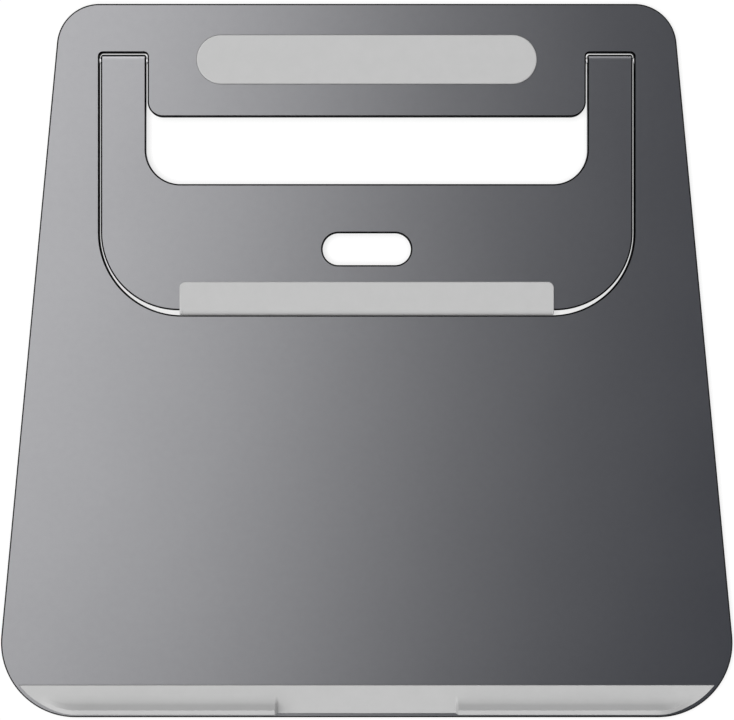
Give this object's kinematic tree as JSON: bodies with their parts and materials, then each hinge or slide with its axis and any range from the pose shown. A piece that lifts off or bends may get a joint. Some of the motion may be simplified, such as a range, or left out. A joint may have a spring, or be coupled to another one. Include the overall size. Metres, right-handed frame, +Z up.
{
  "type": "laptop stand",
  "caption": "Flat folding laptop stand: trapezoid metal deck with rubber pads, a front grip whose two lips leave a finger notch, and a U-shaped leg that folds flush into a cut-out.",
  "frame": {"origin": "below the middle of the folded stand, on the surface its feet rest on", "axes": "+X to the user's right, +Y to the rear edge where the leg hinges, +Z up from the desk"},
  "size_m": [0.2402, 0.2342, 0.0103],
  "materials": {
    "anodised_sheet": "fine bead-blasted, space-grey anodised",
    "pin_steel": "bright rolled steel",
    "grey_rubber": "matt light grey silicone",
    "adhesive_film": "translucent adhesive film"
  },
  "bodies": {
    "deck": {"top_plate": "anodised_sheet", "hinge_pin_left": "pin_steel", "hinge_pin_right": "pin_steel", "bore_plug_left": "anodised_sheet", "bore_plug_right": "anodised_sheet", "rear_pad": "grey_rubber", "rear_pad_tape": "adhesive_film", "front_grip": "grey_rubber", "front_grip_tape": "adhesive_film", "front_foot_left": "grey_rubber", "front_foot_tape_left": "adhesive_film", "front_foot_right": "grey_rubber", "front_foot_tape_right": "adhesive_film", "rear_foot_left": "grey_rubber", "rear_foot_tape_left": "adhesive_film", "rear_foot_right": "grey_rubber", "rear_foot_tape_right": "adhesive_film"},
    "leg": {"leg_frame": "anodised_sheet", "leg_boot": "grey_rubber", "boot_tape_upper": "adhesive_film", "boot_tape_lower": "adhesive_film"}
  },
  "joints": [
    {"name": "leg_fold", "type": "hinge", "parent": "deck", "child": "leg", "pos_m": [0, 0.09855, 0.00325], "axis": [1, 0, 0], "range_deg": [0, 108]}
  ]
}
